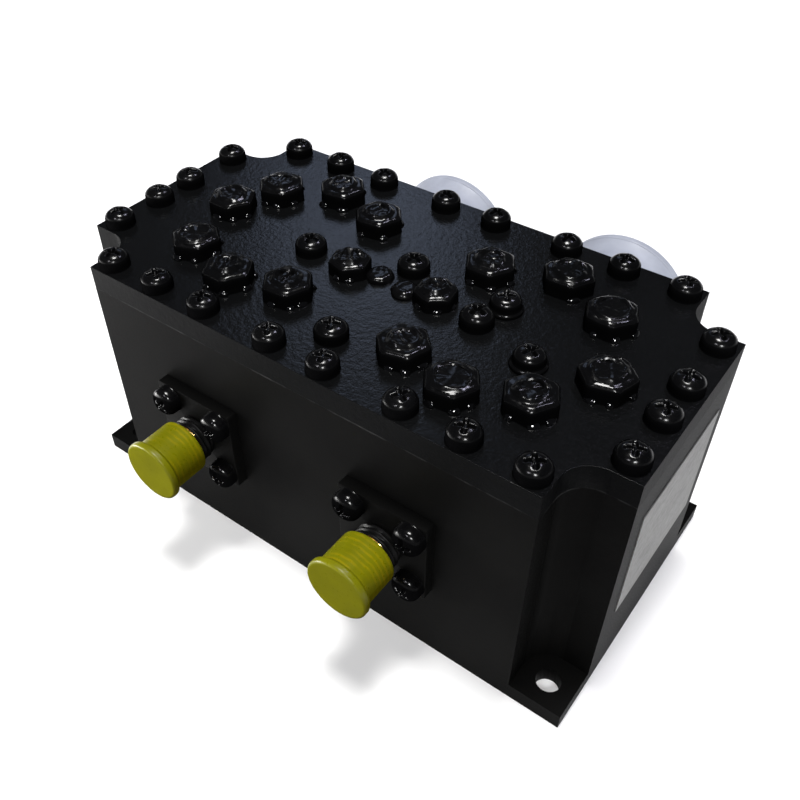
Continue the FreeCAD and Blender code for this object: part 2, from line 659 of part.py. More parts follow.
TURNS = {"g": 24.0, "b": -38.0, "d": 61.0, "f": 12.0, "j": -17.0, "n": 48.0, "p": -70.0, "k": 33.0,
         "c": -52.0, "a": 80.0, "e": 5.0, "m": -28.0, "o": 66.0, "l": 41.0}
group("resonator_tuning_screws", [slotted("resonator_" + k, tune_points[k][0], tune_points[k][1], D.tune_tip,
                                          top + D.tune_stand, D.tune_dia, q(TURNS[k])) for k in resonators])
group("coupling_tuning_screws", [slotted("coupling_" + k, tune_points[k][0], tune_points[k][1], D.couple_tip,
                                         top + D.tune_stand, D.tune_dia, q(TURNS[k])) for k in couplings])
group("lock_nuts", [nut("lock_" + k, tune_points[k][0], tune_points[k][1], D.nut_flats, D.nut_high, D.tune_dia,
                        get("tune_%s_rot" % k)) for k in resonators + couplings])
group("cross_coupling_screws", [slotted("cross_" + k, cross_points[k][0], cross_points[k][1], D.cross_tip,
                                        top + D.cross_stand, D.cross_dia, get("cross_%s_rot" % k)) for k in "st"])
group("small_lock_nuts", [nut("small_" + k, cross_points[k][0], cross_points[k][1], D.small_flats, D.small_high,
                              D.cross_dia, get("cross_%s_rot" % k)) for k in "st"])
group("set_screws", [slotted("set_" + k, plug_points[k][0], plug_points[k][1], D.seam_height + D.plug_gap,
                             top + D.plug_stand, D.plug_dia, get("plug_%s_rot" % k)) for k in "ab"])

# ------------------------------------------------------------------ resonators
posts = body("resonator_posts")
d = Drawing(posts, "posts_plan", "XY_Plane", D.floor_thick)
for k in resonators:
    d.circle(tune_points[k][0], tune_points[k][1], D.post_dia)
pad(posts, "rods", d.done(), D.post_top - D.floor_thick)
d = Drawing(posts, "bores_plan", "XY_Plane", D.post_top)
for k in resonators:
    d.circle(tune_points[k][0], tune_points[k][1], D.post_bore)
pocket(posts, "bores", d.done(), D.post_bore_deep)
d = Drawing(posts, "threads_plan", "XY_Plane", D.floor_thick)
for k in resonators:
    d.circle(tune_points[k][0], tune_points[k][1], D.post_screw_dia)
pocket(posts, "threads", d.done(), D.post_screw_long + 1.0, flip=True)

fixings = body("post_screws")
d = Drawing(fixings, "post_heads_plan", "XY_Plane", D.post_head_sunk)
for k in resonators:
    d.circle(tune_points[k][0], tune_points[k][1], D.post_head_dia)
pad(fixings, "post_heads", d.done(), D.post_head_high)
d = Drawing(fixings, "post_shanks_plan", "XY_Plane", D.post_head_sunk + D.post_head_high)
for k in resonators:
    d.circle(tune_points[k][0], tune_points[k][1], D.post_screw_dia)
pad(fixings, "post_shanks", d.done(),
    D.floor_thick + D.post_screw_long - D.post_head_sunk - D.post_head_high)
d = Drawing(fixings, "post_slots_plan", "XY_Plane", D.post_head_sunk)
for k in resonators:
    d.box(tune_points[k][0], tune_points[k][1], D.post_head_dia + 1.0, D.slot_wide)
pocket(fixings, "post_slots", d.done(), D.slot_deep, flip=True)


# ------------------------------------------------------------------------ jacks
def face_it(owner, x, front):
    """Turns a part built along its own +Z to point out of the front or rear face."""
    owner.Placement = FreeCAD.Placement(V(0, 0, 0), FreeCAD.Rotation(V(1, 0, 0), 90.0 if front else -90.0))
    owner.setExpression("Placement.Base.x", x.e)
    owner.setExpression("Placement.Base.y", (-half if front else half).e)
    owner.setExpression("Placement.Base.z", D.jack_height.e)


def jack(side, x, front, size):
    g = lambda name: get(size + "_" + name)
    shell = body(side + "_jack_shell")
    d = Drawing(shell, side + "_flange_plan")
    d.box(0, 0, g("flange"), g("flange"))
    pad(shell, side + "_flange", d.done(), g("flange_thick"))
    d = Drawing(shell, side + "_barrel_plan")
    d.circle(0, 0, g("barrel_dia"))
    pad(shell, side + "_barrel", d.done(), g("barrel_long"))
    d = Drawing(shell, side + "_bore_plan", "XY_Plane", g("barrel_long"))
    d.circle(0, 0, g("core_dia"))
    pocket(shell, side + "_bore", d.done(), g("barrel_long") + past)
    d = Drawing(shell, side + "_mouth_plan", "XY_Plane", g("barrel_long"))
    d.circle(0, 0, g("mouth_dia"))
    pocket(shell, side + "_mouth", d.done(), g("mouth_deep"))
    d = Drawing(shell, side + "_screw_holes_plan", "XY_Plane", g("flange_thick"))
    for sx in (-1.0, 1.0):
        for sy in (-1.0, 1.0):
            d.circle(sx * g("hole_pitch") / 2, sy * g("hole_pitch") / 2, g("screw_dia") + D.flange_clear)
    pocket(shell, side + "_screw_holes", d.done(), g("flange_thick") + past)
    face_it(shell, x, front)
    return shell


def cap(side, x, front, size):
    g = lambda name: get(size + "_" + name)
    b = body(side + "_cap")
    r = g("rim_round")
    start, end = g("cap_start"), g("cap_end")
    f = revolve(b, side + "_cap_turned", [
        (q(0.0), end - g("cap_web")), (g("cap_bore") / 2, end - g("cap_web")), (g("cap_bore") / 2, start),
        (g("cap_dia") / 2, start), (g("cap_dia") / 2, end - g("rim_thick")),
        (g("rim_dia") / 2, end - g("rim_thick")), (g("rim_dia") / 2, end), (q(0.0), end)])
    e1 = ring_at("z", end.v, g("rim_dia").v / 2)
    e2 = ring_at("z", (end - g("rim_thick")).v, g("rim_dia").v / 2)
    fillet(b, side + "_cap_rounding", f, r, lambda e: e1(e) or e2(e))
    face_it(b, x, front)
    return b


contacts = []
for side, x in (("front_left", D.front_left_x), ("front_right", D.front_right_x)):
    jack(side, x, True, "small")
    core = body(side + "_insulator")
    revolve(core, side + "_insulator_turned", [
        (D.small_pin_dia / 2, -wall), (D.small_core_dia / 2, -wall),
        (D.small_core_dia / 2, D.small_barrel_long - D.small_mouth_deep),
        (D.small_pin_dia / 2, D.small_barrel_long - D.small_mouth_deep)])
    face_it(core, x, True)
    pin = body(side + "_contact")
    end = D.small_barrel_long - D.small_mouth_deep
    revolve(pin, side + "_contact_turned", [
        (q(0.0), -wall - D.pin_inside), (D.small_pin_dia / 2, -wall - D.pin_inside),
        (D.small_pin_dia / 2, end), (D.small_socket_dia / 2, end),
        (D.small_socket_dia / 2, end - D.small_socket_deep), (q(0.0), end - D.small_socket_deep)])
    face_it(pin, x, True)
    contacts.append(pin)
    cap(side, x, True, "small")

for side, x in (("rear_left", D.rear_left_x), ("rear_right", D.rear_right_x)):
    jack(side, x, False, "big")
    core = body(side + "_insulator")
    revolve(core, side + "_insulator_turned", [
        (D.big_stem_dia / 2, -wall), (D.big_bush_dia / 2, -wall), (D.big_bush_dia / 2, q(0.0)),
        (D.big_core_dia / 2, q(0.0)), (D.big_core_dia / 2, D.big_core_end), (D.big_pin_dia / 2, D.big_core_end),
        (D.big_pin_dia / 2, q(0.5)), (D.big_stem_dia / 2, q(0.5))])
    face_it(core, x, False)
    pin = body(side + "_contact")
    revolve(pin, side + "_contact_turned", [
        (q(0.0), -wall - D.pin_inside), (D.big_stem_dia / 2, -wall - D.pin_inside), (D.big_stem_dia / 2, q(0.5)),
        (D.big_pin_dia / 2, q(0.5)), (D.big_pin_dia / 2, D.big_pin_end), (D.big_socket_dia / 2, D.big_pin_end),
        (D.big_socket_dia / 2, D.big_pin_end - D.big_socket_deep), (q(0.0), D.big_pin_end - D.big_socket_deep)])
    face_it(pin, x, False)
    contacts.append(pin)
    cap(side, x, False, "big")

for name, points, size, front in (("front_flange_screws", front_points, "small", True),
                                  ("rear_flange_screws", rear_points, "big", False)):
    b = body(name)
    g = lambda part: get(size + "_" + part)
    out = 1.0 if front else -1.0
    seat = out * (half + g("flange_thick"))
    d = Drawing(b, name + "_shanks_plan", "XZ_Plane", out * (half - g("screw_deep")))
    for x, z in points:
        d.circle(x, z, g("screw_dia"))
    pad(b, name + "_shanks", d.done(), g("screw_deep") + g("flange_thick"), flip=not front)
    d = Drawing(b, name + "_heads_plan", "XZ_Plane", seat)
    for x, z in points:
        d.circle(x, z, g("head_dia"))
    f = pad(b, name + "_heads", d.done(), g("head_high"), flip=not front)
    tip = out * (half + g("flange_thick") + g("head_high"))
    fillet(b, name + "_rounding", f, D.head_round, ring_at("y", -tip.v, g("head_dia").v / 2))
    cross_recess(b, name, "XZ_Plane", tip, points, flip=not front)

# -------------------------------------------------------------------- tap wires
wires = []
for k, x, front, pin in (("f", D.front_left_x, True, contacts[0]), ("k", D.front_right_x, True, contacts[1]),
                         ("g", D.rear_left_x, False, contacts[2]), ("j", D.rear_right_x, False, contacts[3])):
    px, py = tune_points[k]
    y0 = (D.cavity_y - D.pin_inside + 0.5) * (-1.0 if front else 1.0)
    dx, dy = px - x, py - y0
    run = Q(math.hypot(dx.v, dy.v), "sqrt(%s * %s + %s * %s)" % (dx.e, dx.e, dy.e, dy.e))
    turn = Q(math.degrees(math.atan2(dy.v, dx.v)), "(atan2(%s; %s) / 1deg)" % (dy.e, dx.e))
    rod = doc.addObject("Part::Cylinder", "wire_rod_" + k)
    rod.setExpression("Radius", (D.wire_dia / 2).e)
    rod.setExpression("Height", (run - 1.5).e)
    tilt = FreeCAD.Rotation(V(0, 0, 1), turn.v).multiply(FreeCAD.Rotation(V(0, 1, 0), 90.0))
    rod.Placement = FreeCAD.Placement(V(x.v, y0.v, D.jack_height.v), tilt)
    rod.setExpression("Placement.Base.x", x.e)
    rod.setExpression("Placement.Base.y", y0.e)
    rod.setExpression("Placement.Base.z", D.jack_height.e)
    free = cut("wire_free_" + k, rod, posts)
    wires.append(cut("wire_" + k, free, pin))
group("tap_wires", wires)

# ------------------------------------------------------------------------ label
label = body("label")
d = Drawing(label, "label_outline", "YZ_Plane", D.width / 2)
d.polygon([(D.label_front, D.label_low), (D.label_rear, D.label_low), (D.label_rear, D.label_high),
           (D.label_front, D.label_high)])
pad(label, "label_sheet", d.done(), D.label_thick)

# --------------------------------------------------------------- check and save
doc.recompute()
bad = []
for o in doc.Objects:
    if any(s in o.State for s in ("Invalid", "Error")):
        bad.append("%s: %s" % (o.Name, o.State))
for b in NODES:
    if b.Shape.isNull() or not b.Shape.isValid():
        bad.append(b.Name + ": bad shape")
for owner, f in CUTS:
    feats = [x for x in owner.Group if x.TypeId.startswith("PartDesign::") and not x.TypeId.endswith("Body")]
    i = feats.index(f)
    if not f.Shape.Volume < feats[i - 1].Shape.Volume - 1e-6:
        bad.append("%s: %s cuts nothing" % (owner.Name, f.Name))
if bad:
    raise RuntimeError("; ".join(bad))
os.makedirs("parts", exist_ok=True)
for b in NODES:
    b.Shape.exportStep("parts/%s.step" % b.Label)
    box = b.Shape.BoundBox
    print("%-26s solids %2d  volume %9.2f  x %7.2f %7.2f  y %7.2f %7.2f  z %6.2f %6.2f" % (
        b.Label, len(b.Shape.Solids), b.Shape.Volume, box.XMin, box.XMax, box.YMin, box.YMax, box.ZMin, box.ZMax))
print(len(NODES), "nodes")
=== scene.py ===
import math
import random

import bpy
from mathutils import Matrix, Vector, noise


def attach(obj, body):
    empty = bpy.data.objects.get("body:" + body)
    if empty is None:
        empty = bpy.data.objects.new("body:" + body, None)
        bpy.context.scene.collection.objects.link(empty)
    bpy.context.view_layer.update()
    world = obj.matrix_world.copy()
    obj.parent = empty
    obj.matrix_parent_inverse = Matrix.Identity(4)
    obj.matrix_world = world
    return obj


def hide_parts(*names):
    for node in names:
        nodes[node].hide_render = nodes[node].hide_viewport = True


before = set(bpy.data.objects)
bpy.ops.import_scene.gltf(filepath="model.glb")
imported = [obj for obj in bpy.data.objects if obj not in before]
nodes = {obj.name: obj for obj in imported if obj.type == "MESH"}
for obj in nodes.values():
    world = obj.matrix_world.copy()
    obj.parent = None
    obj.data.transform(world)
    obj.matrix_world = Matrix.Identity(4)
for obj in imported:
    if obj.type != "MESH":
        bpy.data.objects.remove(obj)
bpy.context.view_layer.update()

# The looks of a two-channel cavity filter. Metres in the scene, millimetres in the tables below.
MM = 0.001
TOP = 37.2          # upper face of the cover
SEAM = 33.9
HALF_W, HALF_D = 40.0, 20.5
JACK_Z = 18.4
scene = bpy.context.scene


# ------------------------------------------------------------------ materials
def new_material(name):
    m = bpy.data.materials.new(name)
    m.use_nodes = True
    nt = m.node_tree
    bsdf = nt.nodes["Principled BSDF"]
    return m, nt, bsdf


def put(nt, kind, **values):
    n = nt.nodes.new("ShaderNode" + kind)
    for k, v in values.items():
        if hasattr(n, k):
            setattr(n, k, v)
        else:
            n.inputs[k.replace("_", " ")].default_value = v
    return n


def noise_tex(nt, coord, scale, detail=3.0, rough=0.55, distortion=0.0):
    n = nt.nodes.new("ShaderNodeTexNoise")
    n.inputs["Scale"].default_value = scale
    n.inputs["Detail"].default_value = detail
    n.inputs["Roughness"].default_value = rough
    n.inputs["Distortion"].default_value = distortion
    nt.links.new(coord, n.inputs["Vector"])
    return n


def span(nt, value, lo, hi, from_lo=0.3, from_hi=0.7):
    n = nt.nodes.new("ShaderNodeMapRange")
    n.inputs["From Min"].default_value = from_lo
    n.inputs["From Max"].default_value = from_hi
    n.inputs["To Min"].default_value = lo
    n.inputs["To Max"].default_value = hi
    nt.links.new(value, n.inputs["Value"])
    return n.outputs["Result"]


def two_tone(nt, value, a, b, lo=0.3, hi=0.7):
    n = nt.nodes.new("ShaderNodeValToRGB")
    n.color_ramp.elements[0].position = lo
    n.color_ramp.elements[0].color = (*a, 1.0)
    n.color_ramp.elements[1].position = hi
    n.color_ramp.elements[1].color = (*b, 1.0)
    nt.links.new(value, n.inputs["Fac"])
    return n.outputs["Color"]


def bumps(nt, bsdf, parts, rounding=0.0):
    """parts: (height output, strength, distance in metres); chained, then fed to the shader."""
    last = None
    if rounding:
        b = nt.nodes.new("ShaderNodeBevel")
        b.samples = 6
        b.inputs["Radius"].default_value = rounding
        last = b.outputs["Normal"]
    for height, strength, distance in parts:
        n = nt.nodes.new("ShaderNodeBump")
        n.inputs["Strength"].default_value = strength
        n.inputs["Distance"].default_value = distance
        nt.links.new(height, n.inputs["Height"])
        if last is not None:
            nt.links.new(last, n.inputs["Normal"])
        last = n.outputs["Normal"]
    nt.links.new(last, bsdf.inputs["Normal"])


def object_coord(nt):
    return nt.nodes.new("ShaderNodeTexCoord").outputs["Object"]


def black_paint(name, dark, light, rough_lo, rough_hi, level, grain, grain_depth, peel_depth, matt_sides=None,
                blend=(0.85, 0.98), seam_highlight_at=None):
    """Sprayed black paint: faint tone drift, uneven gloss, orange peel and fine grain."""
    m, nt, b = new_material(name)
    co = object_coord(nt)
    drift = noise_tex(nt, co, 60.0, 4.0)
    fine = noise_tex(nt, co, grain, 3.0, 0.6)
    peel = noise_tex(nt, co, 1400.0, 2.0, 0.5)
    b.inputs["Base Color"].default_value = (*dark, 1.0)
    colour = two_tone(nt, drift.outputs["Fac"], dark, light)
    if seam_highlight_at is not None:
        # painted highlight: a lighter broken line in the colour along the joint of housing and cover, standing for the
        # light its edges catch
        where = nt.nodes.new("ShaderNodeSeparateXYZ")
        nt.links.new(co, where.inputs["Vector"])
        patch = noise_tex(nt, co, 230.0, 3.0, 0.6)
        off = nt.nodes.new("ShaderNodeMath")
        off.operation = "SUBTRACT"
        nt.links.new(where.outputs["Z"], off.inputs[0])
        off.inputs[1].default_value = seam_highlight_at
        gap = nt.nodes.new("ShaderNodeMath")
        gap.operation = "ABSOLUTE"
        nt.links.new(off.outputs[0], gap.inputs[0])
        line = span(nt, gap.outputs[0], 1.0, 0.0, 0.00006, 0.00017)
        broken = nt.nodes.new("ShaderNodeMath")
        broken.operation = "MULTIPLY"
        nt.links.new(line, broken.inputs[0])
        nt.links.new(span(nt, patch.outputs["Fac"], 0.05, 0.9, 0.45, 0.60), broken.inputs[1])
        seam_highlight = nt.nodes.new("ShaderNodeMix")
        seam_highlight.data_type = "RGBA"
        nt.links.new(broken.outputs[0], seam_highlight.inputs[0])
        nt.links.new(colour, seam_highlight.inputs[6])
        seam_highlight.inputs[7].default_value = (0.024, 0.024, 0.024, 1.0)
        colour = seam_highlight.outputs[2]
    nt.links.new(colour, b.inputs["Base Color"])
    b.inputs["Specular IOR Level"].default_value = level
    gloss = span(nt, fine.outputs["Fac"], rough_lo, rough_hi)
    if matt_sides:
        # the upright faces of the piece are duller than its upper face
        sep = nt.nodes.new("ShaderNodeSeparateXYZ")
        nt.links.new(nt.nodes.new("ShaderNodeTexCoord").outputs["Normal"], sep.inputs["Vector"])
        nt.links.new(span(nt, sep.outputs["Z"], matt_sides[1], level, *blend), b.inputs["Specular IOR Level"])
        mix = nt.nodes.new("ShaderNodeMix")
        mix.data_type = "FLOAT"
        nt.links.new(span(nt, sep.outputs["Z"], 0.0, 1.0, *blend), mix.inputs[0])
        mix.inputs[2].default_value = matt_sides[0]
        nt.links.new(gloss, mix.inputs[3])
        gloss = mix.outputs[0]
    nt.links.new(gloss, b.inputs["Roughness"])
    bumps(nt, b, [(peel.outputs["Fac"], 0.5, peel_depth), (fine.outputs["Fac"], 0.5, grain_depth)])
    return m


# both paints carry a painted highlight, a lighter broken line along the joint of housing and cover
paint_body = black_paint("paint_body", (0.0022, 0.0022, 0.0022), (0.0042, 0.0042, 0.0040), 0.36, 0.50, 0.013,
                         4200.0, 0.000012, 0.00002, seam_highlight_at=0.0339)
paint_cover = black_paint("paint_cover", (0.0021, 0.0022, 0.0024), (0.0034, 0.0036, 0.0038), 0.14, 0.23, 0.44,
                          3800.0, 0.00005, 0.00008, matt_sides=(0.48, 0.017), seam_highlight_at=0.0339)
lacquer = black_paint("black_lacquer", (0.0016, 0.0016, 0.0018), (0.0028, 0.0028, 0.0030), 0.13, 0.22, 0.26,
                      2600.0, 0.000004, 0.00001, matt_sides=(0.5, 0.0), blend=(0.42, 0.68))


wet_lacquer = black_paint("wet_lacquer", (0.0016, 0.0016, 0.0018), (0.0026, 0.0026, 0.0030), 0.05, 0.10, 0.55,
                          2600.0, 0.000003, 0.000006, matt_sides=(0.4, 0.02), blend=(0.30, 0.55))
neck_paint = black_paint("neck_paint", (0.0020, 0.0020, 0.0020), (0.0036, 0.0036, 0.0036), 0.30, 0.42, 0.10,
                         3600.0, 0.000012, 0.00002, matt_sides=(0.55, 0.0), blend=(-0.10, 0.50))


def metal(name, colour_a, colour_b, rough_lo, rough_hi, grain=1500.0, depth=0.000008):
    m, nt, b = new_material(name)
    co = object_coord(nt)
    big = noise_tex(nt, co, 220.0, 4.0)
    fine = noise_tex(nt, co, grain, 3.0, 0.6)
    b.inputs["Metallic"].default_value = 1.0
    nt.links.new(two_tone(nt, big.outputs["Fac"], colour_a, colour_b), b.inputs["Base Color"])
    nt.links.new(span(nt, fine.outputs["Fac"], rough_lo, rough_hi), b.inputs["Roughness"])
    bumps(nt, b, [(fine.outputs["Fac"], 0.3, depth)])
    return m


gold = metal("gold_plating", (0.72, 0.50, 0.17), (0.86, 0.64, 0.27), 0.18, 0.32)
brass = metal("turned_brass", (0.70, 0.55, 0.26), (0.80, 0.66, 0.34), 0.22, 0.38)
steel = metal("bright_steel", (0.42, 0.42, 0.43), (0.56, 0.56, 0.57), 0.26, 0.42)
copper = metal("copper_wire", (0.78, 0.40, 0.25), (0.86, 0.50, 0.33), 0.2, 0.34)


def plastic(name, colour_a, colour_b, rough_lo, rough_hi, through, scatter, radius, ior=1.46, level=0.5):
    m, nt, b = new_material(name)
    co = object_coord(nt)
    cloud = noise_tex(nt, co, 260.0, 3.0)
    fine = noise_tex(nt, co, 2600.0, 2.0)
    nt.links.new(two_tone(nt, cloud.outputs["Fac"], colour_a, colour_b), b.inputs["Base Color"])
    nt.links.new(span(nt, fine.outputs["Fac"], rough_lo, rough_hi), b.inputs["Roughness"])
    b.inputs["IOR"].default_value = ior
    b.inputs["Specular IOR Level"].default_value = level
    b.inputs["Transmission Weight"].default_value = through
    if scatter:
        b.inputs["Subsurface Weight"].default_value = scatter
        b.inputs["Subsurface Radius"].default_value = (1.0, 0.9, 0.5)
        b.inputs["Subsurface Scale"].default_value = radius
    bumps(nt, b, [(fine.outputs["Fac"], 0.25, 0.000012), (cloud.outputs["Fac"], 0.3, 0.00006)])
    return m


def yellow_plastic():
    """Thin see-through yellow: the gold thread below prints through as warmer bands, and painted shade darkens the
    faces turned down and towards +X.
    """
    m, nt, b = new_material("yellow_cap_plastic")
    co = object_coord(nt)
    cloud = noise_tex(nt, co, 300.0, 3.0)
    fine = noise_tex(nt, co, 2600.0, 2.0)
    body = two_tone(nt, cloud.outputs["Fac"], (0.141, 0.142, 0.0016), (0.172, 0.171, 0.0024))
    sep = nt.nodes.new("ShaderNodeSeparateXYZ")
    nt.links.new(co, sep.inputs["Vector"])
    wave = nt.nodes.new("ShaderNodeTexWave")
    wave.wave_type = "BANDS"
    wave.bands_direction = "Y"
    wave.wave_profile = "SIN"
    wave.inputs["Scale"].default_value = 2 * math.pi / 0.0007056 / 20.0
    wave.inputs["Distortion"].default_value = 3.2
    wave.inputs["Detail"].default_value = 2.0
    nt.links.new(co, wave.inputs["Vector"])
    along = span(nt, sep.outputs["Y"], 1.0, 0.0, -0.0297, -0.0293)
    near = nt.nodes.new("ShaderNodeMath")
    near.operation = "SUBTRACT"
    near.inputs[0].default_value = 1.0
    nt.links.new(along, near.inputs[1])
    # the thread prints through only where the cap hugs it
    hug = nt.nodes.new("ShaderNodeMath")
    hug.operation = "MULTIPLY"
    nt.links.new(near.outputs[0], hug.inputs[0])
    nt.links.new(span(nt, cloud.outputs["Fac"], 0.12, 1.0, 0.42, 0.6), hug.inputs[1])
    bands = nt.nodes.new("ShaderNodeMath")
    bands.operation = "MULTIPLY"
    nt.links.new(span(nt, wave.outputs["Fac"], 0.0, 0.42, 0.45, 0.9), bands.inputs[0])
    nt.links.new(hug.outputs[0], bands.inputs[1])
    mix = nt.nodes.new("ShaderNodeMix")
    mix.data_type = "RGBA"
    nt.links.new(bands.outputs[0], mix.inputs[0])
    nt.links.new(body, mix.inputs[6])
    mix.inputs[7].default_value = (0.34, 0.255, 0.003, 1.0)
    deep = nt.nodes.new("ShaderNodeMix")
    deep.data_type = "RGBA"
    deep.blend_type = "MULTIPLY"
    facing = nt.nodes.new("ShaderNodeSeparateXYZ")
    nt.links.new(nt.nodes.new("ShaderNodeTexCoord").outputs["Normal"], facing.inputs["Vector"])
    # painted shade: the colour is multiplied darker on faces turned down and towards +X, standing for the shade on that
    # side of the cap
    shade_side = nt.nodes.new("ShaderNodeMath")
    shade_side.operation = "MULTIPLY_ADD"
    nt.links.new(facing.outputs["X"], shade_side.inputs[0])
    shade_side.inputs[1].default_value = -0.5
    nt.links.new(facing.outputs["Z"], shade_side.inputs[2])
    nt.links.new(span(nt, shade_side.outputs[0], 1.0, 0.0, -0.55, 0.45), deep.inputs[0])
    nt.links.new(mix.outputs[2], deep.inputs[6])
    deep.inputs[7].default_value = (0.36, 0.32, 0.26, 1.0)
    nt.links.new(deep.outputs[2], b.inputs["Base Color"])
    nt.links.new(span(nt, fine.outputs["Fac"], 0.26, 0.38), b.inputs["Roughness"])
    b.inputs["IOR"].default_value = 1.46
    nt.links.new(span(nt, facing.outputs["Z"], 0.0, 0.30, 0.1, 0.7), b.inputs["Specular IOR Level"])
    b.inputs["Transmission Weight"].default_value = 0.05
    bumps(nt, b, [(wave.outputs["Fac"], 0.2, 0.00001), (fine.outputs["Fac"], 0.25, 0.00001)])
    return m


yellow = yellow_plastic()
white_plastic = plastic("white_cap_plastic", (0.318, 0.338, 0.402), (0.395, 0.42, 0.488), 0.36, 0.50, 0.10, 0.0, 0.001)
ptfe = plastic("waxy_insulator", (0.80, 0.80, 0.78), (0.88, 0.88, 0.85), 0.40, 0.55, 0.0, 0.0, 0.001)


def label_material():
    m, nt, b = new_material("label_sheet")
    co = object_coord(nt)
    fibre = noise_tex(nt, co, 1400.0, 4.0, 0.7)
    cloud = noise_tex(nt, co, 140.0, 3.0)
    paper = two_tone(nt, cloud.outputs["Fac"], (0.130, 0.130, 0.125), (0.160, 0.160, 0.153))
    # worn, faded bands of grey across the sheet, with no letters in them
    stretch = nt.nodes.new("ShaderNodeMapping")
    nt.links.new(co, stretch.inputs["Vector"])
    stretch.inputs["Scale"].default_value = (1.0, 0.35, 2.6)
    rows = noise_tex(nt, stretch.outputs["Vector"], 420.0, 3.0, 0.7)
    faded = nt.nodes.new("ShaderNodeMix")
    faded.data_type = "RGBA"
    nt.links.new(span(nt, rows.outputs["Fac"], 0.0, 0.8, 0.50, 0.68), faded.inputs[0])
    nt.links.new(paper, faded.inputs[6])
    faded.inputs[7].default_value = (0.075, 0.075, 0.072, 1.0)
    nt.links.new(faded.outputs[2], b.inputs["Base Color"])
    nt.links.new(span(nt, fibre.outputs["Fac"], 0.42, 0.58), b.inputs["Roughness"])
    bumps(nt, b, [(fibre.outputs["Fac"], 0.3, 0.00001)])
    return m


label_look = label_material()


# ---------------------------------------------------------------- mesh helpers
def make(name, verts, faces, material, body, smooth=True, sharp=None):
    me = bpy.data.meshes.new(name)
    me.from_pydata([tuple(c * MM for c in v) for v in verts], [], faces)
    me.validate()
    o = bpy.data.objects.new(name, me)
    scene.collection.objects.link(o)
    me.materials.append(material)
    for p in me.polygons:
        p.use_smooth = smooth
    if smooth and sharp is not None:
        me.set_sharp_from_angle(angle=math.radians(sharp))
    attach(o, body)
    return o


def up_from(cx, cy, z0=TOP):
    """Places a turned shape on the cover."""
    return lambda x, y, z: (cx + x, cy + y, z0 + z)


def out_front(cx, cz, y0=-HALF_D):
    return lambda x, y, z: (cx + x, y0 - z, cz + y)


def out_rear(cx, cz, y0=HALF_D):
    return lambda x, y, z: (cx - x, y0 + z, cz + y)


def turned(verts, faces, place, profile, count, shape=None, phase=0.0):
    """A closed turned solid. profile runs from the axis at the bottom to the axis at the top."""
    start = len(verts)
    flipped = False
    probe = [Vector(place(1, 0, 0)) - Vector(place(0, 0, 0)), Vector(place(0, 1, 0)) - Vector(place(0, 0, 0)),
             Vector(place(0, 0, 1)) - Vector(place(0, 0, 0))]
    if probe[0].cross(probe[1]).dot(probe[2]) < 0:
        flipped = True
    rings = []
    for i, (r, z) in enumerate(profile):
        if r <= 1e-9:
            rr, zz = (0.0, z) if shape is None else shape(i, 0.0, z, 0.0)
            rings.append([len(verts)])
            verts.append(place(0.0, 0.0, zz))
            continue
        ring = []
        for k in range(count):
            th = phase + 2 * math.pi * k / count
            rr, zz = (r, z) if shape is None else shape(i, r, z, th)
            ring.append(len(verts))
            verts.append(place(rr * math.cos(th), rr * math.sin(th), zz))
        rings.append(ring)

    def face(f):
        faces.append(tuple(reversed(f)) if flipped else tuple(f))

    for a, b in zip(rings, rings[1:]):
        if len(a) == 1 and len(b) == 1:
            continue
        for k in range(count):
            j = (k + 1) % count
            if len(a) == 1:
                face((a[0], b[j], b[k]))
            elif len(b) == 1:
                face((a[k], a[j], b[0]))
            else:
                face((a[k], a[j], b[j], b[k]))
    return start


def lumps(p, freq, seed):
    return noise.noise(Vector((p[0] * freq + seed * 7.31, p[1] * freq - seed * 3.17, p[2] * freq + seed)))


def soft_step(x, a, b):
    t = min(1.0, max(0.0, (x - a) / (b - a)))
    return t * t * (3 - 2 * t)


# ------------------------------------------------------------------ pan heads
def pan_head(verts, faces, place, radius, high, seed, turn, fill=0.5, base=0.0, washer=0.0, count=64):
    """Painted pan head with a cross recess partly filled by the paint."""
    rnd = random.Random(seed)
    flat = 0.40 * high
    prof = [(0.0, base - 0.25), (radius * 0.9, base - 0.25)]
    if washer:
        prof += [(washer - 0.1, base - 0.05), (washer + 0.03, base + 0.1), (washer, base + 0.36), (washer - 0.12, base + 0.47),
                 (radius + 0.1, base + 0.52)]
    else:
        prof += [(radius + 0.05, base - 0.02), (radius + 0.02, base + 0.03), (radius + 0.005, base + 0.08)]
    lift = base + (0.5 if washer else 0.0)
    prof += [(radius, lift + 0.3 * flat), (radius, lift + flat * 0.8)]
    for k in range(1, 27):
        a = k / 26 * math.pi / 2
        prof.append((radius * max(0.0, math.cos(a)) ** 0.90 if k < 26 else 0.0,
                     lift + flat * 0.8 + (high - flat * 0.8) * math.sin(a) ** 0.80))
    arm, wide, deep = radius * 0.56, radius * 0.11, 0.42 * high * (1 - fill * rnd.uniform(0.3, 1.0))
    ca, sa = math.cos(turn), math.sin(turn)
    wob = rnd.uniform(0.0, 9.0)

    def shape(i, r, z, th):
        x, y = r * math.cos(th), r * math.sin(th)
        if z > lift + flat:
            u, v = abs(x * ca + y * sa), abs(-x * sa + y * ca)
            inside = max((1 - soft_step(v, wide * 0.55, wide * 1.5)) * (1 - soft_step(u, arm * 0.75, arm * 1.05)),
                         (1 - soft_step(u, wide * 0.55, wide * 1.5)) * (1 - soft_step(v, arm * 0.75, arm * 1.05)))
            z -= deep * inside
        n = lumps((x, y, z), 0.9, seed + wob)
        return (r * (1 + 0.012 * n) if r > 0 else 0.0), z + 0.025 * n
    turned(verts, faces, place, prof, count, shape)


